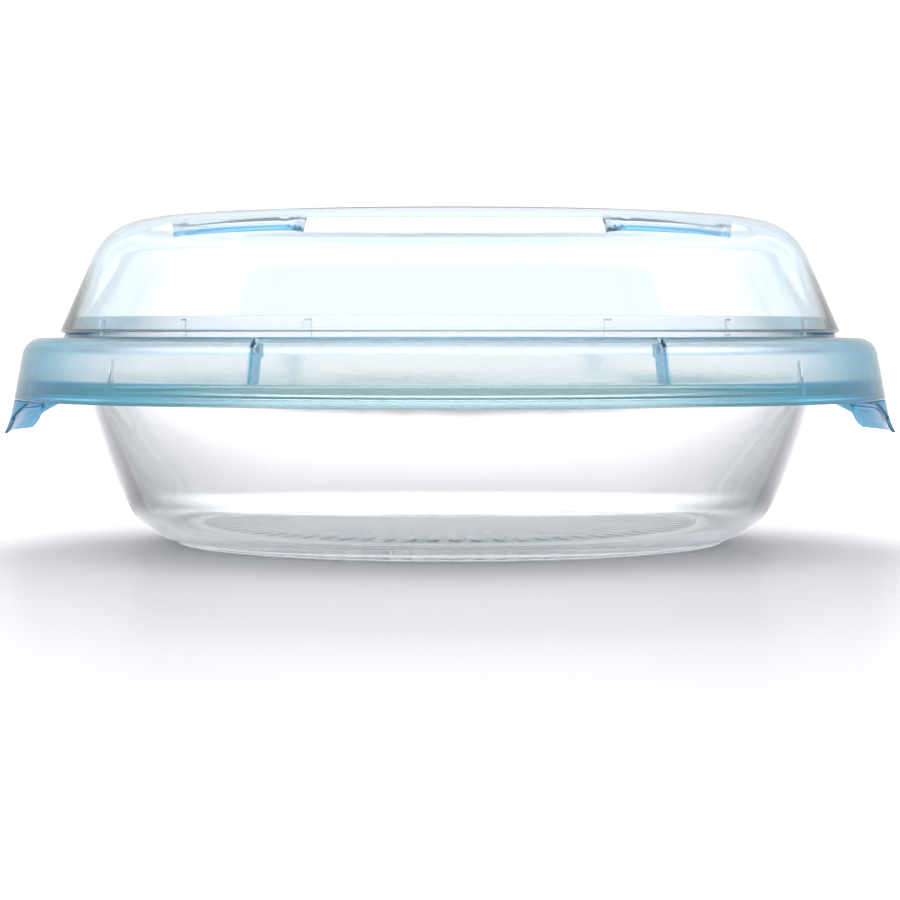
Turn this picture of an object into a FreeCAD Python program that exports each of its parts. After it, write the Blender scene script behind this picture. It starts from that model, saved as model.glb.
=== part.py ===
"""Covered round glass baking dish: a pressed-glass dish under a raised press-on lid.

The lid is a clear dome seated on the collar of a translucent ring. The ring wraps the dish rim, and a
flexible tab hangs from it at each side. Millimetres, +Z up, origin at the centre of the base; the two tabs
lie on the X axis.
"""

import FreeCAD, Part
import math
import os

# ---- dish: overall sizes -------------------------------------------------------------------------------
DISH_HEIGHT = 50.0
RIM_RADIUS = 130.0
RIM_THICKNESS = 4.8
WALL_SLOPE = 0.42  # outward run per unit of height
WALL_FOOT_RADIUS = 95.2  # where the outer wall line would meet the table
WALL_THICKNESS = 4.6
HEEL_RADIUS = 20.5
HEEL_INNER_RADIUS = 16.0
FLOOR_THICKNESS = 4.6
FOOT_OUTER_RADIUS = 85.0
FOOT_INNER_RADIUS = 77.0
FOOT_HEIGHT = 0.7
UNDER_RIM_FILLET = 3.0
MOUTH_FILLET = 3.5
FOOT_EDGE_FILLET = 0.3
RIM_FLAT = 0.02  # what the two round edges leave of the rim's outer face

# ---- lid ring ------------------------------------------------------------------------------------------
RING_TOP = 62.8
RING_BOTTOM = 44.0
RING_THICKNESS = 1.6
SHOULDER_RADIUS = 6.0
SHOULDER_CENTRE_RADIUS = 125.8
SKIRT_BOTTOM_RADIUS = 134.2
COLLAR_INNER_RADIUS = 116.4
COLLAR_TOP = 68.4
DOME_RISE = 1.45  # the dome's foot hangs this far above the ring's top face

RING_CORNER_FILLET = 0.4
COLLAR_EDGE_FILLET = 0.25
SKIRT_EDGE_FILLET = 0.5

SEAT_GAP = 0.1  # lid ribs stand this far above the dish rim
RIM_CLEARANCE = 0.25  # ribs and beads stay this far outside the dish rim
SEAT_RIB_DEPTH = 3.9
SEAT_RIB_TIP_RADIUS = 121.0
SEAT_RIB_FILLET = 0.5
RIB_THICKNESS = 1.5
SEAT_RIB_ANGLE = 65.25  # from the tab axis
GUIDE_RIB_ANGLES = (21.75, 43.5)
GUIDE_RIB_TOP = 56.2
GUIDE_RIB_BOTTOM = 45.7
COLLAR_RIB_ANGLES = (31.0, 50.0, 69.8)
COLLAR_RIB_DEPTH = 0.5
COLLAR_RIB_WIDTH = 2.2
COLLAR_RIB_BOTTOM = 62.4
COLLAR_RIB_TOP = 67.4
COLLAR_RIB_BEVEL = 0.6
COLLAR_RIB_FILLET = 0.2
BEAD_START = 44.3
BEAD_BOTTOM = 44.6
BEAD_TOP = 45.2
BEAD_RUN = 1.2  # the height of the slope above the bead
BEAD_FILLET = 0.3

# ---- tabs ----------------------------------------------------------------------------------------------
TAB_GAP = 0.3  # between the ring and each tab
TAB_TIP_Z = 33.9
TAB_TIP_RADIUS = 137.4
TAB_BEND_RADIUS = 135.2
TAB_BEND_Z = 39.4
TAB_TIP_THICKNESS = 1.3
TAB_HALF_WIDTH = 28.0
TAB_SIDE_Z = 38.4
TAB_SIDE_DRAFT = 0.5
TAB_SIDE_FILLET = 1.2
TAB_CORNER_RADIUS = 3.5
TAB_WEB_HALF_WIDTH = 50.0
TAB_WEB_HEIGHT = 0.2  # what is left of a web at its far end
TAB_PAD_THICKNESS = 0.5
TAB_PAD_HALF_WIDTH = 25.0
TAB_PAD_LOW_Z = 36.6
TAB_PAD_HIGH_Z = 40.4
TAB_RIB_OFFSETS = (-24.0, 24.0)
TAB_RIB_THICKNESS = 1.2
TAB_RIB_DEPTH = 1.6
TAB_RIB_LOW_Z = 37.6
TAB_RIB_FILLET = 0.4
TAB_GRIP_HEIGHTS = (40.7, 42.3)
TAB_GRIP_HALF_ANGLE = 10.0
TAB_GRIP_DEPTH = 0.3
TAB_GRIP_HEIGHT = 0.5

# ---- dome ----------------------------------------------------------------------------------------------
DOME_TOP = 98.75
DOME_THICKNESS = 1.6
DOME_SHOULDER_RADIUS = 18.75
DOME_FLAT_RADIUS = 93.1
DOME_SLOPE = 0.44
DOME_FOOT_INNER_FILLET = 0.3
DOME_FOOT_OUTER_FILLET = 0.7
POCKET_INNER_RADIUS = 84.0
POCKET_OUTER_RADIUS = 91.0
POCKET_DEPTH = 4.4
POCKET_FLOOR = 1.45
POCKET_DRAFT = 0.7  # how much narrower each side of a pocket is at its floor
POCKET_START = 30.0  # degrees from the Y axis
POCKET_END = 65.0
BADGE_LENGTH = 26.0
BADGE_WIDTH = 12.0
BADGE_HEIGHT = 0.5

FULL_TURN = 360.0
OVERLAP = 0.2  # how far a cut or an added body passes the face that it meets
BURIED = 0.8  # how deep a rib's root lies in the wall that carries it
UP = FreeCAD.Vector(0, 0, 1)
ORIGIN = FreeCAD.Vector(0, 0, 0)


# ---- helpers -------------------------------------------------------------------------------------------
def point(radius, z):
    """A point of a half section, in the XZ plane."""
    return FreeCAD.Vector(radius, 0, z)


def line(a, b):
    return Part.LineSegment(a, b).toShape()


def arc(a, middle, b):
    return Part.Arc(a, middle, b).toShape()


def rounded(points):
    """A closed wire through (point, fillet radius) pairs, with tangent arcs at the filleted corners."""
    count = len(points)
    corners = []
    for i, (here, radius) in enumerate(points):
        before = points[i - 1][0]
        after = points[(i + 1) % count][0]
        if radius == 0:
            corners.append((here, None, here))
            continue
        towards_before = (before - here).normalize()
        towards_after = (after - here).normalize()
        half = towards_before.getAngle(towards_after) / 2
        reach = radius / math.tan(half)
        bisector = (towards_before + towards_after).normalize()
        centre = here + bisector * (radius / math.sin(half))
        start = here + towards_before * reach
        end = here + towards_after * reach
        corners.append((start, centre - bisector * radius, end))
    edges = []
    for i, (start, middle, end) in enumerate(corners):
        if middle is not None:
            edges.append(arc(start, middle, end))
        following = corners[(i + 1) % count][0]
        if (following - end).Length > 1e-6:
            edges.append(line(end, following))
    return Part.Wire(edges)


def revolve(wire, start=0.0, sweep=FULL_TURN):
    """The solid swept by a half section about Z, from a start angle in degrees."""
    solid = Part.Face(wire).revolve(ORIGIN, UP, sweep)
    solid.rotate(ORIGIN, UP, start)
    return solid


def radial_plate(wire, thickness, angle):
    """A flat plate of a half section, centred on the radial plane at an angle in degrees."""
    plate = Part.Face(wire).extrude(FreeCAD.Vector(0, thickness, 0))
    plate.translate(FreeCAD.Vector(0, -thickness / 2, 0))
    plate.rotate(ORIGIN, UP, angle)
    return plate


def four_fold(angle):
    """The four angles about Z that mirror one angle in the XZ and YZ planes."""
    return (angle, 180.0 - angle, 180.0 + angle, 360.0 - angle)


def export(name, shape):
    shape = shape.removeSplitter()
    solids = shape.Solids
    if not shape.isValid() or not solids:
        raise ValueError(name + " is not a valid solid")
    shape.exportStep("parts/" + name + ".step")
    print(name, "solids", len(solids), "volume", round(shape.Volume, 1))


# ---- dish ----------------------------------------------------------------------------------------------
def wall_radius(z):
    """Outer radius of the dish wall at a height."""
    return WALL_FOOT_RADIUS + WALL_SLOPE * z


def glass_dish():
    lean = math.atan(WALL_SLOPE)
    inset = WALL_THICKNESS / math.cos(lean)
    floor = FLOOR_THICKNESS
    rim_under = DISH_HEIGHT - RIM_THICKNESS
    edge = (RIM_THICKNESS - RIM_FLAT) / 2
    section = [
        (point(0, FOOT_HEIGHT), 0),
        (point(FOOT_INNER_RADIUS, FOOT_HEIGHT), FOOT_EDGE_FILLET),
        (point(FOOT_INNER_RADIUS, 0), FOOT_EDGE_FILLET),
        (point(FOOT_OUTER_RADIUS, 0), FOOT_EDGE_FILLET),
        (point(FOOT_OUTER_RADIUS, FOOT_HEIGHT), 0),
        (point(wall_radius(FOOT_HEIGHT), FOOT_HEIGHT), HEEL_RADIUS),
        (point(wall_radius(rim_under), rim_under), UNDER_RIM_FILLET),
        (point(RIM_RADIUS, rim_under), edge),
        (point(RIM_RADIUS, DISH_HEIGHT), edge),
        (point(wall_radius(DISH_HEIGHT) - inset, DISH_HEIGHT), MOUTH_FILLET),
        (point(wall_radius(floor) - inset, floor), HEEL_INNER_RADIUS),
        (point(0, floor), 0),
    ]
    return revolve(rounded(section))


# ---- dome ----------------------------------------------------------------------------------------------
def dome_wall_radius(z):
    """Outer radius of the dome's straight wall at a height, tangent to its shoulder."""
    lean = math.atan(DOME_SLOPE)
    touch_radius = DOME_FLAT_RADIUS + DOME_SHOULDER_RADIUS * math.cos(lean)
    touch_z = DOME_TOP - DOME_SHOULDER_RADIUS + DOME_SHOULDER_RADIUS * math.sin(lean)
    return touch_radius + DOME_SLOPE * (touch_z - z)


def dome_inset():
    """Horizontal thickness of the dome's wall."""
    return DOME_THICKNESS / math.cos(math.atan(DOME_SLOPE))


def slot_wire(inner, outer, start, end, z):
    """A closed wire round an arc-shaped slot at one height, with round ends; the angles are in degrees."""
    middle_radius = (inner + outer) / 2
    half_width = (outer - inner) / 2

    def polar(radius, degrees):
        turn = math.radians(degrees)
        return FreeCAD.Vector(radius * math.cos(turn), radius * math.sin(turn), z)

    def end_cap(degrees, way):
        centre = polar(middle_radius, degrees)
        along = FreeCAD.Vector(-math.sin(math.radians(degrees)), math.cos(math.radians(degrees)), 0)
        return centre + along * (half_width * way)

    middle = (start + end) / 2
    return Part.Wire(
        [
            arc(polar(inner, start), polar(inner, middle), polar(inner, end)),
            arc(polar(inner, end), end_cap(end, 1), polar(outer, end)),
            arc(polar(outer, end), polar(outer, middle), polar(outer, start)),
            arc(polar(outer, start), end_cap(start, -1), polar(inner, start)),
        ]
    )


def pocket(grow, top, floor):
    """A tapered arc-shaped block in the first quadrant, grown sideways by a distance."""
    half_width = math.degrees((POCKET_OUTER_RADIUS - POCKET_INNER_RADIUS) / 2 / POCKET_OUTER_RADIUS)
    start = 90.0 - POCKET_END + half_width
    end = 90.0 - POCKET_START - half_width
    upper = slot_wire(POCKET_INNER_RADIUS - grow, POCKET_OUTER_RADIUS + grow, start, end, top)
    lower_inner = POCKET_INNER_RADIUS - grow + POCKET_DRAFT
    lower_outer = POCKET_OUTER_RADIUS + grow - POCKET_DRAFT
    lower = slot_wire(lower_inner, lower_outer, start, end, floor)
    return Part.makeLoft([lower, upper], True, True)


def lid_dome():
    base = RING_TOP + DOME_RISE
    flat_under = DOME_TOP - DOME_THICKNESS
    inner_radius = DOME_SHOULDER_RADIUS - DOME_THICKNESS
    crown = dome_wall_radius(DOME_TOP)
    inner_crown = dome_wall_radius(flat_under) - dome_inset()
    section = [
        (point(0, flat_under), 0),
        (point(inner_crown, flat_under), inner_radius),
        (point(dome_wall_radius(base) - dome_inset(), base), DOME_FOOT_INNER_FILLET),
        (point(dome_wall_radius(base), base), DOME_FOOT_OUTER_FILLET),
        (point(crown, DOME_TOP), DOME_SHOULDER_RADIUS),
        (point(0, DOME_TOP), 0),
    ]
    dome = revolve(rounded(section))
    blister = pocket(POCKET_FLOOR, flat_under + OVERLAP, DOME_TOP - POCKET_DEPTH - POCKET_FLOOR)
    recess = pocket(0.0, DOME_TOP + OVERLAP, DOME_TOP - POCKET_DEPTH)
    for flip in (False, True):
        added = blister.mirror(ORIGIN, FreeCAD.Vector(0, 1, 0))
        removed = recess.mirror(ORIGIN, FreeCAD.Vector(0, 1, 0))
        if flip:
            added = added.mirror(ORIGIN, FreeCAD.Vector(1, 0, 0))
            removed = removed.mirror(ORIGIN, FreeCAD.Vector(1, 0, 0))
        dome = dome.fuse(added).cut(removed)
    badge_curve = Part.Ellipse(FreeCAD.Vector(0, 0, DOME_TOP - OVERLAP), BADGE_LENGTH / 2, BADGE_WIDTH / 2)
    badge = Part.Face(Part.Wire(badge_curve.toShape())).extrude(UP * (BADGE_HEIGHT + OVERLAP))
    return dome.fuse(badge)


# ---- lid ring ------------------------------------------------------------------------------------------
def skirt_radius(z):
    """Outer radius of the ring's straight skirt at a height."""
    top_radius = SHOULDER_CENTRE_RADIUS + SHOULDER_RADIUS
    top_z = RING_TOP - SHOULDER_RADIUS
    slope = (SKIRT_BOTTOM_RADIUS - top_radius) / (top_z - RING_BOTTOM)
    return SKIRT_BOTTOM_RADIUS - slope * (z - RING_BOTTOM)


def inner_skirt_radius(z):
    return skirt_radius(z) - RING_THICKNESS


def ring_shell():
    face_inner = dome_wall_radius(RING_TOP) - dome_inset()
    tip_inner = dome_wall_radius(COLLAR_TOP) - dome_inset()
    under = RING_TOP - RING_THICKNESS
    section = [
        (point(COLLAR_INNER_RADIUS, under), RING_CORNER_FILLET),
        (point(COLLAR_INNER_RADIUS, COLLAR_TOP), COLLAR_EDGE_FILLET),
        (point(tip_inner, COLLAR_TOP), COLLAR_EDGE_FILLET),
        (point(face_inner, RING_TOP), 0),
        (point(skirt_radius(RING_TOP), RING_TOP), SHOULDER_RADIUS),
        (point(SKIRT_BOTTOM_RADIUS, RING_BOTTOM), SKIRT_EDGE_FILLET),
        (point(SKIRT_BOTTOM_RADIUS - RING_THICKNESS, RING_BOTTOM), SKIRT_EDGE_FILLET),
        (point(inner_skirt_radius(under), under), SHOULDER_RADIUS - RING_THICKNESS),
    ]
    return revolve(rounded(section))


def seat_rib(angle):
    """A rib of even depth round the inside of the shoulder; its flat foot rests on the dish rim."""
    foot = DISH_HEIGHT + SEAT_GAP
    top = RING_TOP - BURIED
    under = RING_TOP - RING_THICKNESS - SEAT_RIB_DEPTH
    section = [
        (point(inner_skirt_radius(foot) - SEAT_RIB_DEPTH, foot), SEAT_RIB_FILLET),
        (point(inner_skirt_radius(foot) + BURIED, foot), 0),
        (point(inner_skirt_radius(top) + BURIED, top), SHOULDER_RADIUS - BURIED),
        (point(SEAT_RIB_TIP_RADIUS, top), 0),
        (point(SEAT_RIB_TIP_RADIUS, under), SEAT_RIB_FILLET),
        (point(inner_skirt_radius(under) - SEAT_RIB_DEPTH, under), SEAT_RIB_FILLET),
    ]
    return radial_plate(rounded(section), RIB_THICKNESS, angle)


def guide_rib(angle):
    """A wedge down the skirt that centres the ring round the rim; its inner face is upright."""
    beside = RIM_RADIUS + RIM_CLEARANCE
    section = [
        (point(beside, GUIDE_RIB_BOTTOM), 0),
        (point(inner_skirt_radius(GUIDE_RIB_BOTTOM) + BURIED, GUIDE_RIB_BOTTOM), 0),
        (point(inner_skirt_radius(GUIDE_RIB_TOP) + BURIED, GUIDE_RIB_TOP), 0),
        (point(beside, GUIDE_RIB_TOP), 0),
    ]
    return radial_plate(rounded(section), RIB_THICKNESS, angle)


def collar_rib(angle):
    """A short rib on the inside face of the collar."""
    root = COLLAR_INNER_RADIUS + BURIED
    crest = COLLAR_INNER_RADIUS - COLLAR_RIB_DEPTH
    section = [
        (point(crest, COLLAR_RIB_BOTTOM), COLLAR_RIB_FILLET),
        (point(root, COLLAR_RIB_BOTTOM), 0),
        (point(root, COLLAR_RIB_TOP), 0),
        (point(crest, COLLAR_RIB_TOP - COLLAR_RIB_BEVEL), COLLAR_RIB_FILLET),
    ]
    return radial_plate(rounded(section), COLLAR_RIB_WIDTH, angle)


def snap_bead():
    """A low bead round the skirt's inner edge, just outside and below the dish rim."""
    inner = RIM_RADIUS + RIM_CLEARANCE
    high = BEAD_TOP + BEAD_RUN
    section = [
        (point(inner_skirt_radius(BEAD_START) + BURIED, BEAD_START), 0),
        (point(inner_skirt_radius(high) + BURIED, high), 0),
        (point(inner_skirt_radius(high), high), 0),
        (point(inner, BEAD_TOP), BEAD_FILLET),
        (point(inner, BEAD_BOTTOM), BEAD_FILLET),
    ]
    return revolve(rounded(section))


def lid_ring():
    seat_angles = four_fold(SEAT_RIB_ANGLE)
    guide_angles = [a for angle in GUIDE_RIB_ANGLES for a in four_fold(angle)]
    collar_angles = [a for angle in COLLAR_RIB_ANGLES for a in four_fold(angle)]
    features = [snap_bead()]
    features += [seat_rib(angle) for angle in seat_angles]
    features += [guide_rib(angle) for angle in guide_angles]
    features += [collar_rib(angle) for angle in collar_angles]
    return ring_shell().multiFuse(features)


# ---- tabs ----------------------------------------------------------------------------------------------
def tab_strip(inner_offset, thickness):
    """A curved strip at the +X side, under the skirt; its faces lie inwards of the skirt's outer face."""
    top = RING_BOTTOM - TAB_GAP
    root = SKIRT_BOTTOM_RADIUS - inner_offset
    bend = TAB_BEND_RADIUS - inner_offset
    tip = TAB_TIP_RADIUS - inner_offset
    tip_thickness = thickness * TAB_TIP_THICKNESS / RING_THICKNESS
    bend_thickness = (thickness + tip_thickness) / 2
    half_angle = math.degrees(math.asin((TAB_WEB_HALF_WIDTH + OVERLAP) / (root - thickness)))
    wire = Part.Wire(
        [
            arc(point(root, top), point(bend, TAB_BEND_Z), point(tip, TAB_TIP_Z)),
            line(point(tip, TAB_TIP_Z), point(tip - tip_thickness, TAB_TIP_Z)),
            arc(
                point(tip - tip_thickness, TAB_TIP_Z),
                point(bend - bend_thickness, TAB_BEND_Z),
                point(root - thickness, top),
            ),
            line(point(root - thickness, top), point(root, top)),
        ]
    )
    return revolve(wire, -half_angle, 2 * half_angle)


def block_along_x(wire):
    """A block with an outline in a YZ plane, long enough to cross a tab."""
    return Part.Face(wire).extrude(FreeCAD.Vector(RIM_RADIUS, 0, 0))


def on_side(y, z):
    """A point of an outline seen along X, in a YZ plane between the axis and the tab."""
    return FreeCAD.Vector(RIM_RADIUS / 2, y, z)


def tab_outline():
    """A finger lobe with round corners, between two webs that fade into the skirt."""
    top = RING_BOTTOM
    fade = TAB_GAP + TAB_WEB_HEIGHT
    section = [
        (on_side(-TAB_WEB_HALF_WIDTH, top), 0),
        (on_side(-TAB_WEB_HALF_WIDTH, top - fade), 0),
        (on_side(-TAB_HALF_WIDTH - TAB_SIDE_DRAFT, TAB_SIDE_Z), TAB_SIDE_FILLET),
        (on_side(-TAB_HALF_WIDTH, TAB_TIP_Z), TAB_CORNER_RADIUS),
        (on_side(TAB_HALF_WIDTH, TAB_TIP_Z), TAB_CORNER_RADIUS),
        (on_side(TAB_HALF_WIDTH + TAB_SIDE_DRAFT, TAB_SIDE_Z), TAB_SIDE_FILLET),
        (on_side(TAB_WEB_HALF_WIDTH, top - fade), 0),
        (on_side(TAB_WEB_HALF_WIDTH, top), 0),
    ]
    return block_along_x(rounded(section))


def pad_outline():
    """The thicker upper part of the lobe, with a lower edge that sags in the middle."""
    top = RING_BOTTOM
    left = on_side(-TAB_PAD_HALF_WIDTH, TAB_PAD_HIGH_Z)
    right = on_side(TAB_PAD_HALF_WIDTH, TAB_PAD_HIGH_Z)
    wire = Part.Wire(
        [
            arc(left, on_side(0, TAB_PAD_LOW_Z), right),
            line(right, on_side(TAB_PAD_HALF_WIDTH, top)),
            line(on_side(TAB_PAD_HALF_WIDTH, top), on_side(-TAB_PAD_HALF_WIDTH, top)),
            line(on_side(-TAB_PAD_HALF_WIDTH, top), left),
        ]
    )
    return block_along_x(wire)


def tab_rib(offset):
    """A small upright rib on the inside of a tab."""
    top = RING_BOTTOM - TAB_GAP
    face = math.sqrt((SKIRT_BOTTOM_RADIUS - RING_THICKNESS) ** 2 - offset**2)
    section = [
        (point(face + BURIED, top), 0),
        (point(face + BURIED, TAB_RIB_LOW_Z), 0),
        (point(face, TAB_RIB_LOW_Z), TAB_RIB_FILLET),
        (point(face - TAB_RIB_DEPTH, top), 0),
    ]
    rib = Part.Face(rounded(section)).extrude(FreeCAD.Vector(0, TAB_RIB_THICKNESS, 0))
    rib.translate(FreeCAD.Vector(0, offset - TAB_RIB_THICKNESS / 2, 0))
    return rib


def grip_line(z):
    """A low ridge across the inside of a tab at one height."""
    face = SKIRT_BOTTOM_RADIUS - RING_THICKNESS - TAB_PAD_THICKNESS
    low = z - TAB_GRIP_HEIGHT / 2
    high = z + TAB_GRIP_HEIGHT / 2
    root = face + TAB_PAD_THICKNESS + BURIED
    crest = face - TAB_GRIP_DEPTH
    corners = [point(crest, low), point(root, low), point(root, high), point(crest, high)]
    wire = rounded([(corner, 0) for corner in corners])
    return revolve(wire, -TAB_GRIP_HALF_ANGLE, 2 * TAB_GRIP_HALF_ANGLE)


def tab():
    """The tab at the +X side."""
    lobe = tab_strip(0.0, RING_THICKNESS).common(tab_outline())
    pad = tab_strip(RING_THICKNESS / 2, RING_THICKNESS / 2 + TAB_PAD_THICKNESS).common(pad_outline())
    ribs = [tab_rib(offset) for offset in TAB_RIB_OFFSETS]
    grips = [grip_line(z) for z in TAB_GRIP_HEIGHTS]
    return lobe.multiFuse([pad] + ribs + grips)


# ---- build ---------------------------------------------------------------------------------------------
def main():
    os.makedirs("parts", exist_ok=True)
    right = tab()
    left = right.copy()
    left.rotate(ORIGIN, UP, 180.0)
    export("glass_dish", glass_dish())
    export("lid_dome", lid_dome())
    export("lid_ring", lid_ring())
    export("right_tab", right)
    export("left_tab", left)


main()
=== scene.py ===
"""A covered round glass baking dish: clear pressed glass under a see-through press-on lid with two side tabs.

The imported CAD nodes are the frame. Each is replaced here by a finer mesh of its shape, so that glass and
clear plastic refract smoothly. Only the ring's inside ribs differ: they are slimmer here, and the seat ribs
are shorter. Sizes are in millimetres until a mesh is made, and in metres after that.
"""

import math

import bmesh
import bpy
import numpy as np
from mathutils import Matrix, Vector


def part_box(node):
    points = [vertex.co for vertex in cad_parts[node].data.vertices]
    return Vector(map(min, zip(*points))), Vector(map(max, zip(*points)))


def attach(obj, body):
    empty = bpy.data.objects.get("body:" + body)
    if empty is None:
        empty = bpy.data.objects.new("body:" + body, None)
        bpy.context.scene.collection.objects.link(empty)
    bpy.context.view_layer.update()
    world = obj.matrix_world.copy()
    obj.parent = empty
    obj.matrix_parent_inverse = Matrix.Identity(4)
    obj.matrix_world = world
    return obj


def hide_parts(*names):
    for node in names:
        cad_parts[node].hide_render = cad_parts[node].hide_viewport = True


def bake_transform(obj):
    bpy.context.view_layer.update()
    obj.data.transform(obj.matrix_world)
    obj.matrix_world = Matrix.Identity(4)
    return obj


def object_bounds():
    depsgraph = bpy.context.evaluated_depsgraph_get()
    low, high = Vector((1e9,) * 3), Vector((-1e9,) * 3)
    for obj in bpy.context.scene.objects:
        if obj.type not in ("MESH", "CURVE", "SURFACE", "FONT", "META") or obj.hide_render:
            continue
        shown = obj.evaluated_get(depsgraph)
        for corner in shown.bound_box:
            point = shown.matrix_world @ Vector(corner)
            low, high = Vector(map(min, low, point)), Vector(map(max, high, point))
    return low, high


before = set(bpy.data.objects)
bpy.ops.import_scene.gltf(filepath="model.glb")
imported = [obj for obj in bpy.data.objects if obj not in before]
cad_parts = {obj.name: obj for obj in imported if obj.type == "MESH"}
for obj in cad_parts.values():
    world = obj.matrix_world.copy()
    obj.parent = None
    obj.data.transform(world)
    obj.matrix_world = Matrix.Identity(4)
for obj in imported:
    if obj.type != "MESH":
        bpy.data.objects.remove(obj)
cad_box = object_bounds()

MM = 0.001

# ---- heights from the frame ----------------------------------------------------------------------------
DISH_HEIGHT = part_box("glass_dish")[1][2] / MM
SEAT_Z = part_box("lid_dome")[0][2] / MM
BADGE_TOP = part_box("lid_dome")[1][2] / MM
SKIRT_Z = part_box("lid_ring")[0][2] / MM
COLLAR_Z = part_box("lid_ring")[1][2] / MM
TAB_TIP_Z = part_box("right_tab")[0][2] / MM

# ---- dish ----------------------------------------------------------------------------------------------
RIM_RADIUS = 130.0
RIM_THICKNESS = 4.8
RIM_EDGE_RADIUS = 2.3
WALL_SLOPE = 0.42  # outward run per unit of height
WALL_FOOT_RADIUS = 95.2  # where the outer wall line would meet the table
WALL_THICKNESS = 4.6
HEEL_RADIUS = 20.5
HEEL_INNER_RADIUS = 16.0
FLOOR_THICKNESS = 4.6
FOOT_OUTER_RADIUS = 85.0
FOOT_INNER_RADIUS = 77.0
FOOT_HEIGHT = 0.7
FOOT_FILLET = 0.3
RIM_UNDER_FILLET = 3.0
MOUTH_FILLET = 3.5
BASE_CUTS = (25.0, 50.0)  # radii of extra mesh rows across the flat base
GRIP_RING = (69.0, 75.0)  # radial grip marks pressed into the underside, inside the foot
GRIP_COUNT = 72
GRIP_HEIGHT = 0.35
GRIP_RUN = 1.5  # how far a mark takes to fade at its ends
GRIP_SIDES = (0.1, 0.7)  # a mark rises between these cosines of its own angle
GRIP_ROWS = 9  # mesh rows across the marks
GRIP_COLUMNS = 9  # mesh columns to each mark
SAME_HEIGHT = 0.01  # heights this close count as the same face

# ---- dome ----------------------------------------------------------------------------------------------
DOME_THICKNESS = 1.6
DOME_SHOULDER_RADIUS = 18.75
DOME_FLAT_RADIUS = 93.1
DOME_SLOPE = 0.44
DOME_FOOT_INNER_FILLET = 0.3
DOME_FOOT_OUTER_FILLET = 0.7
DOME_CUTS = (30.0, 50.0, 70.0)  # radii of extra mesh rows across the flat top
DOME_COLUMNS = 300
POCKET_RADIUS = 87.5
POCKET_HALF_WIDTH = 3.5
POCKET_DEPTH = 4.4
POCKET_FLOOR = 1.45
POCKET_MARGIN = 0.2  # how far past a pocket's hanging wall its fine mesh and its painted shade reach
POCKET_CUTS = (86.2, 87.5, 88.8)
POCKET_ROWS = 13  # mesh rows across each long side of a pocket
POCKET_ROW_OVERLAP = 1.0
POCKET_END_REACH = 2.0  # fine columns reach this many half widths either way of a pocket's end
POCKET_END_COLUMNS = 27
# painted shade: a deep blue on the lowest part of each pocket, where it is seen edge-on
POCKET_SHADE_HEIGHT = 1.7
POCKET_SHADE_BLUE = (0.2, 0.55, 0.75)
DOME_FOOT_MATT = 0.35  # height of the matt band at the dome's foot
DOME_FOOT_MILK = 0.4
POCKET_WALL_RUN = 0.7  # how far a pocket's wall leans in
POCKET_AZIMUTHS = (25.0, 60.0)  # degrees from the X axis, on the front half only
BADGE_HALF_LENGTH = 13.0
BADGE_HALF_WIDTH = 6.0
BADGE_HEIGHT = 0.5
BADGE_EDGE = (0.9, 1.0)  # the oval's edge slopes between these shares of its size
BADGE_MARGIN = 1.5
BADGE_FIRST_ROW = 1.0
BADGE_ROWS = 22

# ---- ring ----------------------------------------------------------------------------------------------
DOME_RISE = 1.45  # the dome's foot hangs this far above the ring's top face
RING_THICKNESS = 1.6
SHOULDER_RADIUS = 6.0
SHOULDER_CENTRE_RADIUS = 125.8
SKIRT_RADIUS = 134.2
COLLAR_INNER_RADIUS = 116.4
DOME_SEAM = 0.05  # hairline between collar and dome
SKIRT_EDGE_FILLET = 0.5
RING_CORNER_FILLET = 0.3
COLLAR_EDGE_FILLET = 0.25
COLLAR_FOOT_FILLET = 0.4
RING_COLUMNS = 480
RIM_CLEARANCE = 0.25
INNER_FACE_DEPTH = 0.6  # a point this far inside the skirt's outer face is on its inner face
INNER_FACE_MARGIN = 2.0  # the inner face starts this far outside the collar
INNER_FACE_DROP = 0.5  # and this far below the ring's flat top
RIB_HALF_WIDTH = 0.6  # 0.75 in the frame
RIB_FLANK = 0.12  # the run of a rib's side walls
RIB_STEP = 0.06  # mesh rows lie this far either side of a rib's ends
SEAT_RIB_DEPTH = 3.9
SEAT_RIB_TIP_RADIUS = 125.0  # 121 in the frame
SEAT_RIB_ANGLE = 65.25  # degrees from the X axis
GUIDE_RIB_ANGLES = (21.75, 43.5)
GUIDE_RIB_TOP = 56.2
GUIDE_RIB_BOTTOM = 45.7
GUIDE_RIB_CUTS = (52.0, 54.0)
RIB_FOOT_Z = DISH_HEIGHT + 0.1
COLLAR_RIB_ANGLES = (31.0, 50.0, 69.8)
COLLAR_RIB_DEPTH = 0.5
COLLAR_RIB_HALF_WIDTH = 1.1
COLLAR_RIB_FLANK = RIB_FLANK * 2
COLLAR_RIB_RISE = 0.25  # a collar mark rises over this much either side of the ring's flat top
COLLAR_RIB_FADE = (1.6, 1.0)  # and fades between these distances below the collar's top
COLLAR_RIB_CUTS = (-0.2, 0.3)
COLLAR_FACE_MARGIN = 0.1
COLLAR_FACE_DROP = 0.3
COLLAR_FACE_TOP = 0.9
LEAST_REACH = 0.1  # keeps a seat rib's direction defined near the shoulder's centre
BEAD_BOTTOM = 44.6
BEAD_TOP = 45.2
BEAD_RUN = 1.2
BEAD_START = 0.3
BEAD_ROWS = 9

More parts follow.
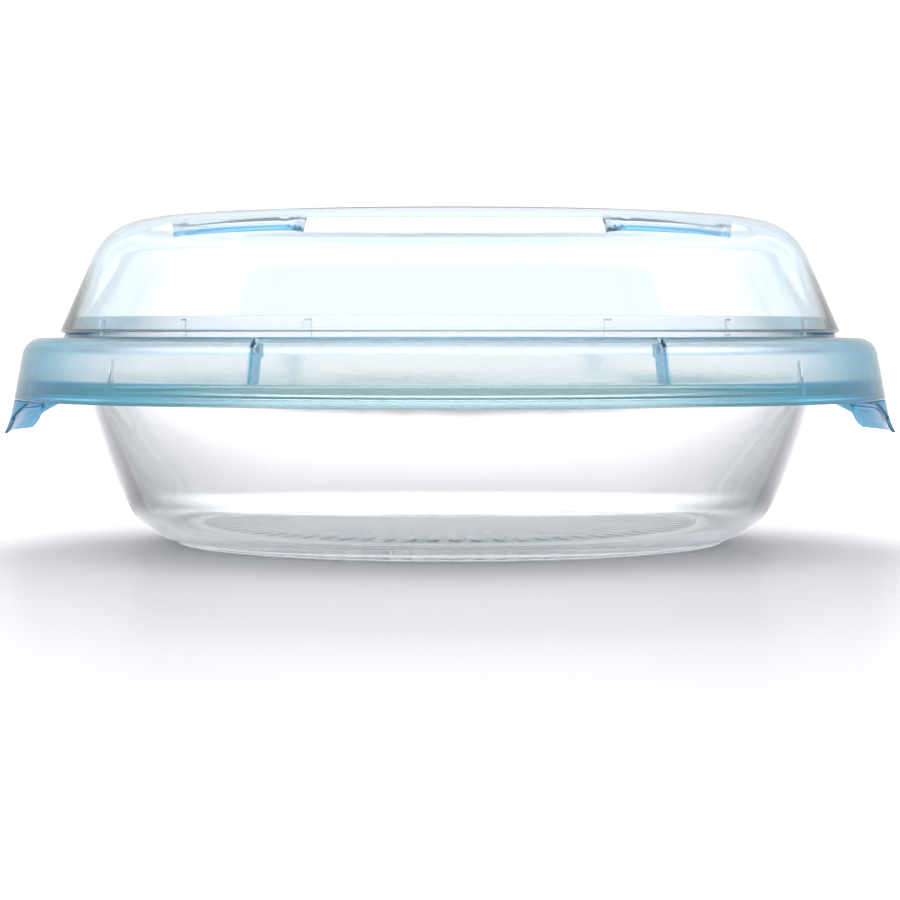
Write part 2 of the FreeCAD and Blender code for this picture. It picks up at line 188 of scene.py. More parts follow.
# ---- tabs ----------------------------------------------------------------------------------------------
TAB_SEAM = 0.05  # hairline between skirt and tab
TAB_TIP_RADIUS = 137.4
TAB_BEND_RADIUS = 135.2
TAB_BEND_Z = 39.4
TAB_TIP_THICKNESS = 1.3
TAB_HALF_WIDTH = 28.0
TAB_SIDE_Z = 38.4
TAB_CORNER_RADIUS = 3.5
TAB_SIDE_FILLET = 1.2
TAB_SIDE_DRAFT = 0.5
TAB_WEB_HALF_WIDTH = 50.0
TAB_WEB_DROP = 0.5
TAB_EDGE_STEP = 0.6  # the longest mesh edge along the outline
TAB_ROWS = 34
TAB_TURN_ROWS = 9  # mesh rows round the lower edge
TAB_TURN_SHARE = 0.45  # the round edge takes up at most this share of the height
TAB_PAD_THICKNESS = 0.5
TAB_PAD_HALF_WIDTH = 25.0
TAB_PAD_SIDE_RUN = 0.5
TAB_PAD_EDGE_RUN = 0.25
TAB_PAD_LOW_Z = 36.6
TAB_PAD_HIGH_Z = 40.4
TAB_RIB_OFFSET = 24.0
TAB_RIB_HALF_WIDTH = 0.6
TAB_RIB_DEPTH = 1.6
TAB_RIB_FLANK = 0.3
TAB_RIB_LOW_Z = 37.6
TAB_GRIP_HEIGHTS = (40.7, 42.3)
TAB_GRIP_DEPTH = 0.5
TAB_GRIP_HALF_HEIGHT = 0.35

# ---- plastics and glass --------------------------------------------------------------------------------
REFRACTION = 1.5
RING_REFRACTION = 1.4  # lower than the dome's, for a softer edge on the satin ring
TAB_REFRACTION = 1.1
GLASS_TINT = (0.05, 0.25, 0.20)
GLASS_DENSITY = 11.0
GLASS_ROUGHNESS = (0.0, 0.02)  # between the marks and on them
GLASS_BUMP = 0.05
GLASS_WAVES = 30.0
DOME_TINT = (0.10, 0.55, 0.80)
DOME_DENSITY = 62.0
DOME_ROUGHNESS = (0.01, 0.05)
DOME_BUMP = 0.02
DOME_WAVES = 60.0
RING_TINT = (0.06, 0.57, 0.84)  # the tabs' too
RING_DENSITY = 45.0
RING_ROUGHNESS = (0.1, 0.18)
TAB_DENSITY = 220.0
TAB_ROUGHNESS = (0.1, 0.2)
RING_FACE = (1.0, 0.99, 0.98)
# painted shade: a deeper blue where the ring turns edge-on, standing in for the longer path light takes
# through the plastic
RING_EDGE_SHADE = (0.08, 0.47, 0.66)
# painted shade: a deeper blue along the ring's lower band, deepest at its two sides, and on its seat ribs
RING_LOW_SHADE_FRONT = (0.72, 0.93, 0.95)
RING_LOW_SHADE_SIDE = (0.25, 0.68, 0.84)
RING_RIB_SHADE = (0.35, 0.65, 0.82)
RING_LOW_FADE = (-0.5, 1.0)  # the painted low band fades between these heights, from the top of the dish
RING_SIDE_FADE = (0.3, 0.7)  # its painted side shade comes in between these shares of the skirt's radius
TAB_FACE = (0.4, 0.78, 0.90)
# painted shade: deeper blues where the tabs and the dome turn edge-on, standing in for the longer path light
# takes through the plastic
TAB_EDGE_SHADE = (0.02, 0.45, 0.70)
DOME_EDGE_SHADE = (0.45, 0.75, 0.90)
DOME_EDGE_RANGE = (0.93, 1.0)  # the painted edge shade comes in between these facing values, 1 being edge-on
RING_EDGE_RANGE = (0.27, 0.85)
TAB_EDGE_RANGE = (0.35, 0.85)
WHITE = (1.0, 1.0, 1.0)
MARKS_SCALE = 22.0
MARKS_DETAIL = 5.0
MARKS_RANGE = (0.35, 0.7)  # the part of the noise that spreads over the roughness range
WAVES_DETAIL = 2.0
WAVES_DEPTH = 0.001  # metres
SATIN_BUMP = 0.01
SATIN_WAVES = 500.0
RING_MILK = 0.05
LOW_MILK = 0.17
TAB_MILK = 0.35

# ---- camera and stage, in metres -----------------------------------------------------------------------
CAMERA_DISTANCE = 0.7875
CAMERA_HEIGHT = 0.06105
CAMERA_YAW = 1.1  # degrees
CAMERA_PITCH = 2.42  # degrees down
CAMERA_LENS = 100.8
CAMERA_NEAR = 0.01
FLOOR_SIZE = 6.0
FLOOR_COLOUR = (0.44, 0.432, 0.456)
FLOOR_ROUGHNESS = 0.3
FLOOR_SHINE = 0.3
FLOOR_HORIZON = 1.9  # painted light: how much lighter the far floor is, for the camera
FLOOR_HORIZON_RANGE = (0.5, 1.5)
# Painted light and shade on the floor, for every ray but the camera's own: brighter under the dish than a
# real floor could be, standing in for light passed on through the glass, and greyer at the object's two
# sides, standing in for a darker studio there.
FLOOR_INSIDE = 6.0  # shades of the floor seen through the object: inside the foot,
FLOOR_INSIDE_RANGE = (0.065, 0.085)
FLOOR_UNDER = 3.2  # under the heel,
FLOOR_UNDER_RANGE = (0.11, 0.2)
FLOOR_SEEN = 0.92  # beyond it,
FLOOR_GREY = 0.36  # and at the two sides, from one sine of the direction to another
FLOOR_GREY_SINES = (0.5, 0.97)
FLOOR_GREY_START = (0.085, 0.125)
FLOOR_GREY_END = (0.22, 0.34)
WORLD_STRENGTH = 1.15
WORLD_GREY = 0.9
WORLD_GREY_RANGE = (0.35, 0.75)
WORLD_OVERHEAD_RANGE = (0.55, 0.85)
WORLD_REFLECTED = 0.75
WORLD_POLE = 1e-4  # keeps the division defined straight up and down
DIFFUSE_FILL = 2.0
LAMP_PLACE = (0, 1.2, 0.62)
LAMP_TARGET = (0, 0, 0.05)
LAMP_SIZE = (0.8, 0.5)
LAMP_POWER = 55.0
CLEAR_BOUNCES = 24
GLOSSY_BOUNCES = 12
DIFFUSE_BOUNCES = 6

# ---- mesh measures -------------------------------------------------------------------------------------
FULL_TURN = 2 * math.pi
ARC_STEP = math.radians(7.5)
ARC_MIN_STEPS = 3
SHARP_ANGLE = 35.0  # degrees
TINY = 1e-6
NEAR_COLUMN = 0.4  # an even column closer than this share of its spacing to a fine one is left out


# ---- outlines ------------------------------------------------------------------------------------------
def unit(v):
    return v / np.linalg.norm(v)


def outline(corners):
    """Points round a closed outline of (r, z, fillet radius) corners, with each fillet as an arc."""
    points = []
    count = len(corners)
    for i, (r, z, radius) in enumerate(corners):
        here = np.array((r, z))
        if radius == 0:
            points.append(here)
            continue
        before = unit(np.array(corners[i - 1][:2]) - here)
        after = unit(np.array(corners[(i + 1) % count][:2]) - here)
        half = math.acos(before @ after) / 2
        reach = radius / math.tan(half)
        centre = here + unit(before + after) * radius / math.sin(half)
        start = here + before * reach - centre
        end = here + after * reach - centre
        turn = math.pi - 2 * half
        steps = max(ARC_MIN_STEPS, math.ceil(turn / ARC_STEP))
        for k in range(steps + 1):
            t = k / steps
            swing = start * math.sin((1 - t) * turn) + end * math.sin(t * turn)
            points.append(centre + swing / math.sin(turn))
    return np.array(points)


def cut(points, column, values):
    """The same closed outline, with extra points where it crosses values of r (column 0) or z (column 1)."""
    result = []
    for here, after in zip(points, np.roll(points, -1, axis=0)):
        result.append(here)
        low, high = sorted((here[column], after[column]))
        crossings = [v for v in values if low + TINY < v < high - TINY]
        crossings.sort(reverse=here[column] > after[column])
        for v in crossings:
            t = (v - here[column]) / (after[column] - here[column])
            result.append(here + (after - here) * t)
    return np.array(result)


def smooth_step(low, high, x):
    t = np.clip((x - low) / (high - low), 0, 1)
    return t * t * (3 - 2 * t)


# ---- mesh helpers --------------------------------------------------------------------------------------
def make_object(name, vertices, faces):
    """A smooth-shaded object from points in millimetres, its normals outwards."""
    mesh = bpy.data.meshes.new(name)
    mesh.from_pydata((np.asarray(vertices) * MM).tolist(), [], faces)
    bm = bmesh.new()
    bm.from_mesh(mesh)
    bmesh.ops.recalc_face_normals(bm, faces=bm.faces)
    bm.to_mesh(mesh)
    bm.free()
    mesh.polygons.foreach_set("use_smooth", [True] * len(mesh.polygons))
    mesh.set_sharp_from_angle(angle=math.radians(SHARP_ANGLE))
    piece = bpy.data.objects.new(name, mesh)
    bpy.context.collection.objects.link(piece)
    return piece


def lathe(name, points, angles, shape=None):
    """A closed outline swept round Z; shape(r, z, angle) may move its points before they are placed."""
    rows = len(angles)
    r = np.tile(points[:, 0], (rows, 1))
    z = np.tile(points[:, 1], (rows, 1))
    angle = np.tile(np.array(angles)[:, None], (1, len(points)))
    if shape:
        r, z = shape(r, z, angle)
    poles = points[:, 0] < TINY
    index = np.zeros(r.shape, dtype=int)
    vertices = []
    for j, pole in enumerate(poles):
        start = len(vertices)
        if pole:
            vertices.append((0.0, 0.0, z[0, j]))
            index[:, j] = start
        else:
            ring = np.stack((r[:, j] * np.cos(angle[:, j]), r[:, j] * np.sin(angle[:, j]), z[:, j]), axis=1)
            vertices.extend(map(tuple, ring))
            index[:, j] = start + np.arange(rows)
    faces = []
    following = np.roll(index, -1, axis=0)
    for j in range(len(points)):
        k = (j + 1) % len(points)
        if poles[j] and poles[k]:
            continue
        a, b, c, d = index[:, j], following[:, j], following[:, k], index[:, k]
        if poles[j]:
            faces.extend(zip(a.tolist(), c.tolist(), d.tolist()))
        elif poles[k]:
            faces.extend(zip(a.tolist(), b.tolist(), c.tolist()))
        else:
            faces.extend(zip(a.tolist(), b.tolist(), c.tolist(), d.tolist()))
    return make_object(name, vertices, faces)


def even_angles(count):
    return [FULL_TURN * i / count for i in range(count)]


def angles_with(base_count, extras):
    """Evenly spread angles plus extra ones, in radians, sorted and without near repeats."""
    fine = sorted(a % FULL_TURN for a in extras)
    step = FULL_TURN / base_count
    result = list(fine)
    for a in even_angles(base_count):
        nearest = min(min(abs(a - f), FULL_TURN - abs(a - f)) for f in fine)
        if nearest > step * NEAR_COLUMN:
            result.append(a)
    result.sort()
    return [a for a, b in zip(result, result[1:] + [result[0] + FULL_TURN]) if b - a > TINY]


def four_fold(degrees):
    """The four angles about Z, in radians, that mirror one angle in the XZ and YZ planes."""
    return [math.radians(a) for a in (degrees, 180.0 - degrees, 180.0 + degrees, 360.0 - degrees)]


def angle_gap(angle, centre):
    """The unsigned angle between two directions, in radians."""
    return np.abs((angle - centre + math.pi) % FULL_TURN - math.pi)


# ---- dish ----------------------------------------------------------------------------------------------
def wall_radius(z):
    return WALL_FOOT_RADIUS + WALL_SLOPE * z


def dish_outline():
    inset = WALL_THICKNESS / math.cos(math.atan(WALL_SLOPE))
    rim_under = DISH_HEIGHT - RIM_THICKNESS
    grip_low, grip_high = GRIP_RING
    corners = [
        (0, FOOT_HEIGHT, 0),
        (FOOT_INNER_RADIUS, FOOT_HEIGHT, FOOT_FILLET),
        (FOOT_INNER_RADIUS, 0, FOOT_FILLET),
        (FOOT_OUTER_RADIUS, 0, FOOT_FILLET),
        (FOOT_OUTER_RADIUS, FOOT_HEIGHT, 0),
        (wall_radius(FOOT_HEIGHT), FOOT_HEIGHT, HEEL_RADIUS),
        (wall_radius(rim_under), rim_under, RIM_UNDER_FILLET),
        (RIM_RADIUS, rim_under, RIM_EDGE_RADIUS),
        (RIM_RADIUS, DISH_HEIGHT, RIM_EDGE_RADIUS),
        (wall_radius(DISH_HEIGHT) - inset, DISH_HEIGHT, MOUTH_FILLET),
        (wall_radius(FLOOR_THICKNESS) - inset, FLOOR_THICKNESS, HEEL_INNER_RADIUS),
        (0, FLOOR_THICKNESS, 0),
    ]
    radii = np.concatenate((np.linspace(grip_low, grip_high, GRIP_ROWS), BASE_CUTS))
    return cut(outline(corners), 0, radii)


def grip_marks(r, z, angle):
    """Low radial marks on the dish's underside, in a ring inside its foot."""
    low, high = GRIP_RING
    band = smooth_step(low, low + GRIP_RUN, r) * (1 - smooth_step(high - GRIP_RUN, high, r))
    mark = smooth_step(*GRIP_SIDES, np.cos(angle * GRIP_COUNT))
    underside = z < FOOT_HEIGHT + SAME_HEIGHT
    return r, z - np.where(underside, GRIP_HEIGHT * band * mark, 0)


def make_dish():
    return lathe("dish_glass", dish_outline(), even_angles(GRIP_COUNT * GRIP_COLUMNS), grip_marks)


# ---- dome ----------------------------------------------------------------------------------------------
DOME_TOP = BADGE_TOP - BADGE_HEIGHT


def dome_wall_radius(z):
    """Outer radius of the dome's straight wall, which is tangent to its shoulder."""
    lean = math.atan(DOME_SLOPE)
    touch_radius = DOME_FLAT_RADIUS + DOME_SHOULDER_RADIUS * math.cos(lean)
    touch_z = DOME_TOP - DOME_SHOULDER_RADIUS * (1 - math.sin(lean))
    return touch_radius + DOME_SLOPE * (touch_z - z)


def dome_inset():
    return DOME_THICKNESS / math.cos(math.atan(DOME_SLOPE))


def dome_outline():
    under = DOME_TOP - DOME_THICKNESS
    inset = dome_inset()
    corners = [
        (0, under, 0),
        (dome_wall_radius(under) - inset, under, DOME_SHOULDER_RADIUS - DOME_THICKNESS),
        (dome_wall_radius(SEAT_Z) - inset, SEAT_Z, DOME_FOOT_INNER_FILLET),
        (dome_wall_radius(SEAT_Z), SEAT_Z, DOME_FOOT_OUTER_FILLET),
        (dome_wall_radius(DOME_TOP), DOME_TOP, DOME_SHOULDER_RADIUS),
        (0, DOME_TOP, 0),
    ]
    inner_wall = POCKET_RADIUS - POCKET_HALF_WIDTH
    outer_wall = POCKET_RADIUS + POCKET_HALF_WIDTH
    grown = POCKET_FLOOR + POCKET_MARGIN
    radii = np.concatenate(
        (
            np.linspace(BADGE_FIRST_ROW, BADGE_HALF_LENGTH + BADGE_MARGIN, BADGE_ROWS),
            DOME_CUTS,
            np.linspace(inner_wall - grown, inner_wall + POCKET_ROW_OVERLAP, POCKET_ROWS),
            POCKET_CUTS,
            np.linspace(outer_wall - POCKET_ROW_OVERLAP, outer_wall + grown, POCKET_ROWS),
        )
    )
    return cut(outline(corners), 0, radii)


def pocket_distance(r, angle):
    """Distance in the top plane from the middle line of the nearest pocket."""
    start, end = (math.radians(a) for a in POCKET_AZIMUTHS)
    start += POCKET_HALF_WIDTH / POCKET_RADIUS
    end -= POCKET_HALF_WIDTH / POCKET_RADIUS
    folded = np.arctan2(-np.sin(angle), np.abs(np.cos(angle)))
    nearest = np.clip(folded, start, end)
    x = r * np.cos(folded) - POCKET_RADIUS * np.cos(nearest)
    y = r * np.sin(folded) - POCKET_RADIUS * np.sin(nearest)
    return np.hypot(x, y)


def dome_shape(r, z, angle):
    """Sinks the two pockets into the dome's flat top and raises the plain oval at its centre."""
    distance = pocket_distance(r, angle)
    wall = POCKET_HALF_WIDTH - POCKET_WALL_RUN
    top = z > DOME_TOP - SAME_HEIGHT
    under = np.abs(z - (DOME_TOP - DOME_THICKNESS)) < SAME_HEIGHT
    sink = POCKET_DEPTH * (1 - smooth_step(wall, POCKET_HALF_WIDTH, distance))
    hang_depth = POCKET_DEPTH + POCKET_FLOOR - DOME_THICKNESS
    hang = hang_depth * (1 - smooth_step(wall + POCKET_FLOOR, POCKET_HALF_WIDTH + POCKET_FLOOR, distance))
    oval = np.hypot(r * np.cos(angle) / BADGE_HALF_LENGTH, r * np.sin(angle) / BADGE_HALF_WIDTH)
    raised = BADGE_HEIGHT * (1 - smooth_step(*BADGE_EDGE, oval))
    return r, z - np.where(top, sink - raised, 0) - np.where(under, hang, 0)


def make_dome():
    extras = []
    half_angle = POCKET_HALF_WIDTH / POCKET_RADIUS
    reach = POCKET_END_REACH * half_angle
    for azimuth, way in zip(POCKET_AZIMUTHS, (1, -1)):
        for centre in four_fold(azimuth + way * math.degrees(half_angle))[2:]:
            extras += list(np.linspace(centre - reach, centre + reach, POCKET_END_COLUMNS))
    return lathe("lid_dome_shell", dome_outline(), angles_with(DOME_COLUMNS, extras), dome_shape)


# ---- ring ----------------------------------------------------------------------------------------------
RING_Z = SEAT_Z - DOME_RISE


def skirt_radius(z):
    """Outer radius of the ring's straight skirt."""
    top_radius = SHOULDER_CENTRE_RADIUS + SHOULDER_RADIUS
    slope = (SKIRT_RADIUS - top_radius) / (RING_Z - SHOULDER_RADIUS - SKIRT_Z)
    return SKIRT_RADIUS - slope * (z - SKIRT_Z)


def inner_skirt_radius(z):
    return skirt_radius(z) - RING_THICKNESS


def ring_outline():
    under = RING_Z - RING_THICKNESS
    face = dome_wall_radius(RING_Z) - dome_inset() - DOME_SEAM
    face_top = dome_wall_radius(COLLAR_Z) - dome_inset() - DOME_SEAM
    corners = [
        (SKIRT_RADIUS, SKIRT_Z, SKIRT_EDGE_FILLET),
        (skirt_radius(RING_Z), RING_Z, SHOULDER_RADIUS),
        (face, RING_Z, RING_CORNER_FILLET),
        (face_top, COLLAR_Z, COLLAR_EDGE_FILLET),
        (COLLAR_INNER_RADIUS, COLLAR_Z, COLLAR_EDGE_FILLET),
        (COLLAR_INNER_RADIUS, under, COLLAR_FOOT_FILLET),
        (inner_skirt_radius(under), under, SHOULDER_RADIUS - RING_THICKNESS),
        (SKIRT_RADIUS - RING_THICKNESS, SKIRT_Z, SKIRT_EDGE_FILLET),
    ]
    foot_cuts = (RIB_FOOT_Z - RIB_STEP, RIB_FOOT_Z + RIB_STEP)
    guide_cuts = (GUIDE_RIB_BOTTOM - RIB_STEP, GUIDE_RIB_BOTTOM + RIB_STEP, *GUIDE_RIB_CUTS, GUIDE_RIB_TOP)
    bead_cuts = np.linspace(BEAD_BOTTOM, BEAD_TOP + BEAD_RUN, BEAD_ROWS)
    collar_cuts = [RING_Z + rise for rise in COLLAR_RIB_CUTS] + [COLLAR_Z - drop for drop in COLLAR_RIB_FADE]
    heights = np.concatenate((foot_cuts, guide_cuts, bead_cuts, collar_cuts))
    tip_cuts = (SEAT_RIB_TIP_RADIUS - RIB_STEP, SEAT_RIB_TIP_RADIUS + RIB_STEP)
    return cut(cut(outline(corners), 1, heights), 0, tip_cuts)


def rib_weight(angle, centres, half_width, radius, flank):
    """1 on a rib and 0 off it, for ribs of one width centred at the given angles."""
    distance = np.min([angle_gap(angle, c) for c in centres], axis=0) * radius
    return 1 - np.clip((distance - half_width) / flank, 0, 1)


def ring_shape(r, z, angle):
    """Raises the ribs and the low bead from the ring's inner face."""
    inside = (r < skirt_radius(z) - INNER_FACE_DEPTH) & (r > COLLAR_INNER_RADIUS + INNER_FACE_MARGIN)
    inside &= z < RING_Z - INNER_FACE_DROP
    seat_centres = four_fold(SEAT_RIB_ANGLE)
    guide_centres = [a for degrees in GUIDE_RIB_ANGLES for a in four_fold(degrees)]
    collar_centres = [a for degrees in COLLAR_RIB_ANGLES for a in four_fold(degrees)]

    seat = SEAT_RIB_DEPTH * rib_weight(angle, seat_centres, RIB_HALF_WIDTH, SKIRT_RADIUS, RIB_FLANK)
    on_seat = inside & (z > RIB_FOOT_Z) & (r > SEAT_RIB_TIP_RADIUS)
    across = np.clip(r - SHOULDER_CENTRE_RADIUS, 0, None)
    above = np.clip(z - (RING_Z - SHOULDER_RADIUS), 0, None)
    reach = np.maximum(np.hypot(across, above), LEAST_REACH)
    moved = np.where(on_seat, r - seat * across / reach, r)
    lowered = np.where(on_seat, z - seat * above / reach, z)

    guide = rib_weight(angle, guide_centres, RIB_HALF_WIDTH, SKIRT_RADIUS, RIB_FLANK)
    beside = RIM_RADIUS + RIM_CLEARANCE
    on_guide = inside & (z > GUIDE_RIB_BOTTOM) & (z < GUIDE_RIB_TOP)
    moved = np.where(on_guide, moved + np.minimum(beside - moved, 0) * guide, moved)

    bead = smooth_step(SKIRT_Z + BEAD_START, BEAD_BOTTOM, z)
    bead = bead * (1 - smooth_step(BEAD_TOP, BEAD_TOP + BEAD_RUN, z))
    moved = np.where(inside, np.minimum(moved, r + (beside - r) * bead), moved)

    on_collar = (r < COLLAR_INNER_RADIUS + COLLAR_FACE_MARGIN) & (z > RING_Z - COLLAR_FACE_DROP)
    on_collar &= z < COLLAR_Z - COLLAR_FACE_TOP
    widths = (COLLAR_RIB_HALF_WIDTH, COLLAR_INNER_RADIUS, COLLAR_RIB_FLANK)
    collar = rib_weight(angle, collar_centres, *widths)
    fade_low, fade_high = (COLLAR_Z - drop for drop in COLLAR_RIB_FADE)
    tall = smooth_step(RING_Z - COLLAR_RIB_RISE, RING_Z + COLLAR_RIB_RISE, z)
    tall = tall * (1 - smooth_step(fade_low, fade_high, z))
    moved = np.where(on_collar, moved - COLLAR_RIB_DEPTH * collar * tall, moved)
    return moved, lowered


def make_ring():
    extras = []
    for degrees in (SEAT_RIB_ANGLE, *GUIDE_RIB_ANGLES):
        for centre in four_fold(degrees):
            for offset in (RIB_HALF_WIDTH, RIB_HALF_WIDTH + RIB_FLANK):
                extras += [centre - offset / SKIRT_RADIUS, centre + offset / SKIRT_RADIUS]
    for degrees in COLLAR_RIB_ANGLES:
        for centre in four_fold(degrees):
            for offset in (COLLAR_RIB_HALF_WIDTH, COLLAR_RIB_HALF_WIDTH + COLLAR_RIB_FLANK):
                extras += [centre - offset / COLLAR_INNER_RADIUS, centre + offset / COLLAR_INNER_RADIUS]
    return lathe("lid_ring_shell", ring_outline(), angles_with(RING_COLUMNS, extras), ring_shape)


# ---- tabs ----------------------------------------------------------------------------------------------
def circle_through(a, b, c):
    """Centre and radius of the circle through three points of a plane."""
    ax, ay = a
    bx, by = b
    cx, cy = c
    d = 2 * (ax * (by - cy) + bx * (cy - ay) + cx * (ay - by))
    ux = ((ax**2 + ay**2) * (by - cy) + (bx**2 + by**2) * (cy - ay) + (cx**2 + cy**2) * (ay - by)) / d
    uy = ((ax**2 + ay**2) * (cx - bx) + (bx**2 + by**2) * (ax - cx) + (cx**2 + cy**2) * (bx - ax)) / d
    return ux, uy, math.hypot(ax - ux, ay - uy)


def tab_face_radius(z):
    """Outer radius of a tab's curved face."""
    ends = ((SKIRT_RADIUS, SKIRT_Z), (TAB_BEND_RADIUS, TAB_BEND_Z), (TAB_TIP_RADIUS, TAB_TIP_Z))
    centre_r, centre_z, radius = circle_through(*ends)
    return centre_r - np.sign(centre_r - SKIRT_RADIUS) * np.sqrt(radius**2 - (z - centre_z) ** 2)


def tab_edge():
    """The tab's lower outline from one end to the other, as (y, z) points with outward directions."""
    drop = SKIRT_Z - TAB_WEB_DROP
    corners = [
        (-TAB_WEB_HALF_WIDTH, drop, 0),
        (-TAB_HALF_WIDTH - TAB_SIDE_DRAFT, TAB_SIDE_Z, TAB_SIDE_FILLET),
        (-TAB_HALF_WIDTH, TAB_TIP_Z, TAB_CORNER_RADIUS),
        (TAB_HALF_WIDTH, TAB_TIP_Z, TAB_CORNER_RADIUS),
        (TAB_HALF_WIDTH + TAB_SIDE_DRAFT, TAB_SIDE_Z, TAB_SIDE_FILLET),
        (TAB_WEB_HALF_WIDTH, drop, 0),
    ]
    closed = outline(corners)
    count = len(closed)
    points = []
    for i in range(count - 1):
        here, after = closed[i], closed[i + 1]
        pieces = max(1, round(np.linalg.norm(after - here) / TAB_EDGE_STEP))
        points += [here + (after - here) * k / pieces for k in range(pieces)]
    points.append(closed[-1])
    points = np.array(points)
    along = np.gradient(points, axis=0)
    along /= np.linalg.norm(along, axis=1)[:, None]
    return points, np.stack((along[:, 1], -along[:, 0]), axis=1)


def tab_thickness(y, z):
    """Thickness of a tab: thin at its tip, with a pad, two ribs and two grip lines on its inner face."""
    drop = np.clip((SKIRT_Z - z) / (SKIRT_Z - TAB_TIP_Z), 0, 1)
    thickness = RING_THICKNESS + (TAB_TIP_THICKNESS - RING_THICKNESS) * drop
    sag = TAB_PAD_LOW_Z + (TAB_PAD_HIGH_Z - TAB_PAD_LOW_Z) * (y / TAB_PAD_HALF_WIDTH) ** 2
    across = 1 - smooth_step(TAB_PAD_HALF_WIDTH - TAB_PAD_SIDE_RUN, TAB_PAD_HALF_WIDTH, np.abs(y))
    above_sag = smooth_step(sag - TAB_PAD_EDGE_RUN, sag + TAB_PAD_EDGE_RUN, z)
    thickness = thickness + TAB_PAD_THICKNESS * above_sag * across
    between = np.abs(y) < TAB_RIB_OFFSET
    for height in TAB_GRIP_HEIGHTS:
        ridge = 1 - smooth_step(0.0, TAB_GRIP_HALF_HEIGHT, np.abs(z - height))
        thickness = thickness + np.where(between, TAB_GRIP_DEPTH * ridge, 0)
    from_rib = np.abs(np.abs(y) - TAB_RIB_OFFSET)
    beside = 1 - smooth_step(TAB_RIB_HALF_WIDTH, TAB_RIB_HALF_WIDTH + TAB_RIB_FLANK, from_rib)
    depth = TAB_RIB_DEPTH * np.clip((z - TAB_RIB_LOW_Z) / (SKIRT_Z - TAB_RIB_LOW_Z), 0, 1)
    return thickness + np.where(z > TAB_RIB_LOW_Z, depth * beside, 0)


def make_tab(name, side):
    """A tab at the +X side, or at the -X side when side is -1, as a closed sheet with a round lower edge."""
    edge, outward = tab_edge()
    root_z = SKIRT_Z - TAB_SEAM
    columns = len(edge)
    straight = np.linspace(-TAB_WEB_HALF_WIDTH, TAB_WEB_HALF_WIDTH, columns)
    root_y = (straight + edge[:, 0]) / 2
    down = np.linspace(0, 1, TAB_ROWS)
    turn = np.linspace(0, math.pi, TAB_TURN_ROWS)
    section_y, section_z, section_depth = [], [], []
    half = np.minimum(tab_thickness(edge[:, 0], edge[:, 1]) / 2, (root_z - edge[:, 1]) * TAB_TURN_SHARE)
    inner_y = edge[:, 0] - outward[:, 0] * half
    inner_z = edge[:, 1] - outward[:, 1] * half
    for t in down[:-1]:
        section_y.append(root_y + (inner_y - root_y) * t)
        section_z.append(root_z + (inner_z - root_z) * t)
        section_depth.append(np.zeros(columns))
    for a in turn:
        section_y.append(inner_y + outward[:, 0] * half * math.sin(a))
        section_z.append(inner_z + outward[:, 1] * half * math.sin(a))
        section_depth.append(np.full(columns, (1 - math.cos(a)) / 2))
    for t in down[-2::-1]:
        section_y.append(root_y + (inner_y - root_y) * t)
        section_z.append(root_z + (inner_z - root_z) * t)
        section_depth.append(np.ones(columns))
    y = np.array(section_y)
    z = np.array(section_z)
    face = tab_face_radius(z)
    r = face - np.array(section_depth) * tab_thickness(y, z)
    x = np.sqrt(r**2 - y**2)
    vertices = np.stack((side * x, side * y, z), axis=-1).reshape(-1, 3)
    rows = len(y)
    faces = []
    for i in range(rows):
        k = (i + 1) % rows
        for j in range(columns - 1):
            faces.append((i * columns + j, i * columns + j + 1, k * columns + j + 1, k * columns + j))
    faces.append([i * columns for i in range(rows)])
    faces.append([i * columns + columns - 1 for i in reversed(range(rows))])
    return make_object(name, vertices, faces)


# ---- materials -----------------------------------------------------------------------------------------
def link_maths(tree, operation, *values):
    """A maths node's result, its inputs given as numbers or as sockets."""
    node = tree.nodes.new("ShaderNodeMath")
    node.operation = operation
    for socket, value in zip(node.inputs, values):
        if isinstance(value, (int, float)):
            socket.default_value = value
        else:
            tree.links.new(value, socket)
    return node.outputs["Value"]


def link_squares(tree, x, y):
    """The sum of the squares of two sockets' values."""
    square_x = link_maths(tree, "MULTIPLY", x, x)
    square_y = link_maths(tree, "MULTIPLY", y, y)
    return link_maths(tree, "ADD", square_x, square_y)


def link_range(tree, value, low, high, at_low, at_high):
    """A smooth change from one number to another as a socket's value goes from low to high."""
    node = tree.nodes.new("ShaderNodeMapRange")
    node.interpolation_type = "SMOOTHSTEP"
    node.inputs["From Min"].default_value = low
    node.inputs["From Max"].default_value = high
    node.inputs["To Min"].default_value = at_low
    node.inputs["To Max"].default_value = at_high
    tree.links.new(value, node.inputs["Value"])
    return node.outputs["Result"]


